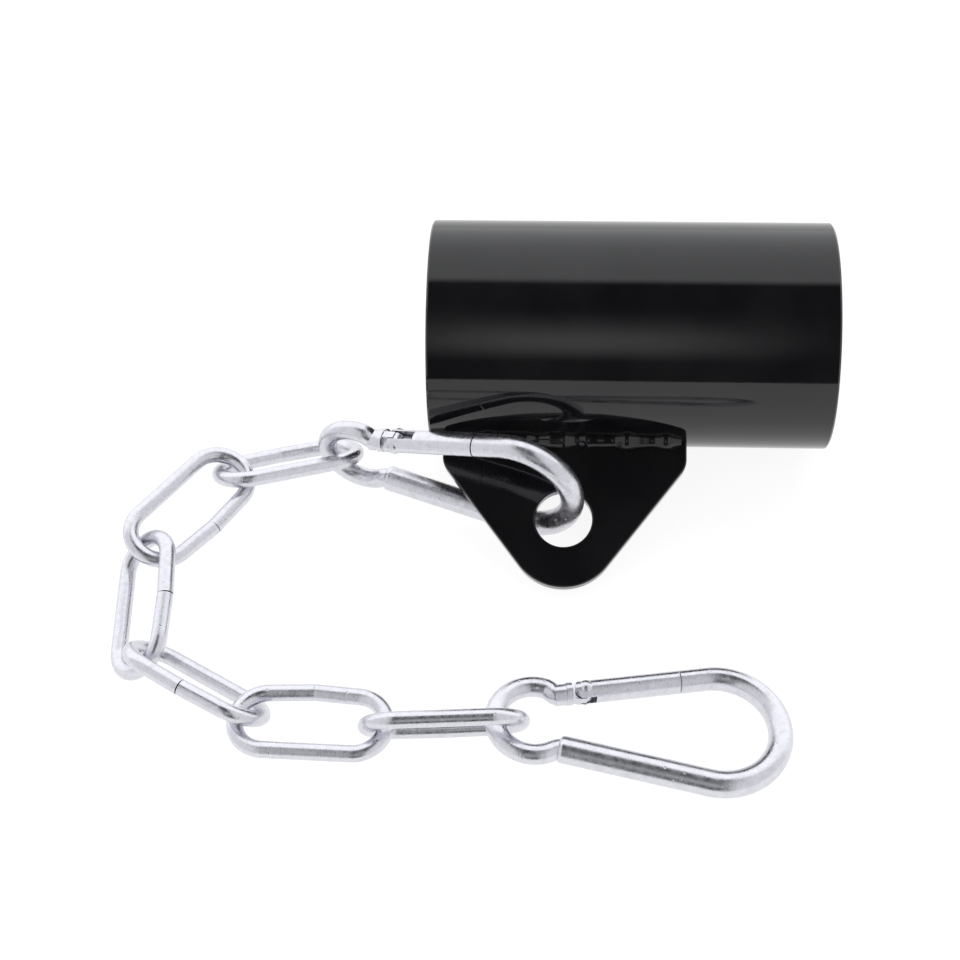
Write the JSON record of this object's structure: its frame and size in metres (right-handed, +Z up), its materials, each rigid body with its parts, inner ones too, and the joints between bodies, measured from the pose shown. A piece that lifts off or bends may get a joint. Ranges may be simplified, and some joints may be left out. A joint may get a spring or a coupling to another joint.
{
  "type": "chain tether sleeve",
  "caption": "Black sleeve with a pierced eye lug, tethered by a short chain between two sprung snap hooks.",
  "frame": {"origin": "centre of the sleeve's bore, halfway along it", "axes": "+X along the bore; +Z up; the lug and the chain lie on the -Y side, on the floor the sleeve rests on"},
  "size_m": [0.1903, 0.1595, 0.0622],
  "materials": {
    "black_enamel": "deep black gloss enamel",
    "black_enamel_weld": "gloss black enamel over a rippled weld",
    "zinc_hook": "bright zinc plate",
    "zinc_gate": "bright zinc plate",
    "zinc_rivet": "bright zinc plate",
    "zinc_link": "bright zinc plate, slightly mottled",
    "spring_steel": "plain spring steel"
  },
  "bodies": {
    "sleeve": {"sleeve_tube": "black_enamel", "eye_lug": "black_enamel", "weld_bead_upper": "black_enamel_weld", "weld_bead_lower": "black_enamel_weld"},
    "hook_1": {"hook_1_body": "zinc_hook"},
    "gate_1": {"hook_1_gate": "zinc_gate", "hook_1_rivet": "zinc_rivet", "hook_1_spring": "spring_steel", "hook_1_plunger": "spring_steel"},
    "chain_link_1": {"chain_link_1": "zinc_link"},
    "chain_link_2": {"chain_link_2": "zinc_link"},
    "chain_link_3": {"chain_link_3": "zinc_link"},
    "chain_link_4": {"chain_link_4": "zinc_link"},
    "chain_link_5": {"chain_link_5": "zinc_link"},
    "chain_link_6": {"chain_link_6": "zinc_link"},
    "hook_2": {"hook_2_body": "zinc_hook"},
    "gate_2": {"hook_2_gate": "zinc_gate", "hook_2_rivet": "zinc_rivet", "hook_2_spring": "spring_steel", "hook_2_plunger": "spring_steel"}
  },
  "joints": [
    {"name": "hook_1_swing", "type": "hinge", "parent": "sleeve", "child": "hook_1", "pos_m": [-0.0176, -0.0476, -0.0211], "axis": [0, 0, 1], "range_deg": [-1, 9]},
    {"name": "gate_1_opens", "type": "hinge", "parent": "hook_1", "child": "gate_1", "pos_m": [-0.0626, -0.03258, -0.00788], "axis": [0.3173, 0.9483, 0], "range_deg": [0, 27], "stiffness_Nm_per_rad": 0.05, "springref_deg": -20.05},
    {"name": "chain_link_1_swing", "type": "hinge", "parent": "hook_1", "child": "chain_link_1", "pos_m": [-0.0792, -0.0268, -0.0267], "axis": [0, 0, 1], "range_deg": [-12, 29]},
    {"name": "chain_link_2_swing", "type": "hinge", "parent": "chain_link_1", "child": "chain_link_2", "pos_m": [-0.1123, -0.0327, -0.022], "axis": [0, 0, -1], "range_deg": [-18, 9]},
    {"name": "chain_link_3_swing", "type": "hinge", "parent": "chain_link_2", "child": "chain_link_3", "pos_m": [-0.1296, -0.0584, -0.0209], "axis": [0, 0, -1], "range_deg": [-14, 8]},
    {"name": "chain_link_4_swing", "type": "hinge", "parent": "chain_link_3", "child": "chain_link_4", "pos_m": [-0.1274, -0.0925, -0.0207], "axis": [0, 0, -1], "range_deg": [-13, 23]},
    {"name": "chain_link_5_swing", "type": "hinge", "parent": "chain_link_4", "child": "chain_link_5", "pos_m": [-0.0934, -0.1069, -0.0269], "axis": [0, 0, 1], "range_deg": [-40, 5]},
    {"name": "chain_link_6_swing", "type": "hinge", "parent": "chain_link_5", "child": "chain_link_6", "pos_m": [-0.0655, -0.1135, -0.0222], "axis": [0, 0, 1], "range_deg": [-38, 23]},
    {"name": "hook_2_swing", "type": "hinge", "parent": "chain_link_6", "child": "hook_2", "pos_m": [-0.0315, -0.1092, -0.0275], "axis": [0, 0, 1], "range_deg": [-45, 17]},
    {"name": "gate_2_opens", "type": "hinge", "parent": "hook_2", "child": "gate_2", "pos_m": [-0.01104, -0.10068, -0.02426], "axis": [-0.0698, -0.0175, -0.9974], "range_deg": [0, 27], "stiffness_Nm_per_rad": 0.05, "springref_deg": -20.05}
  ]
}
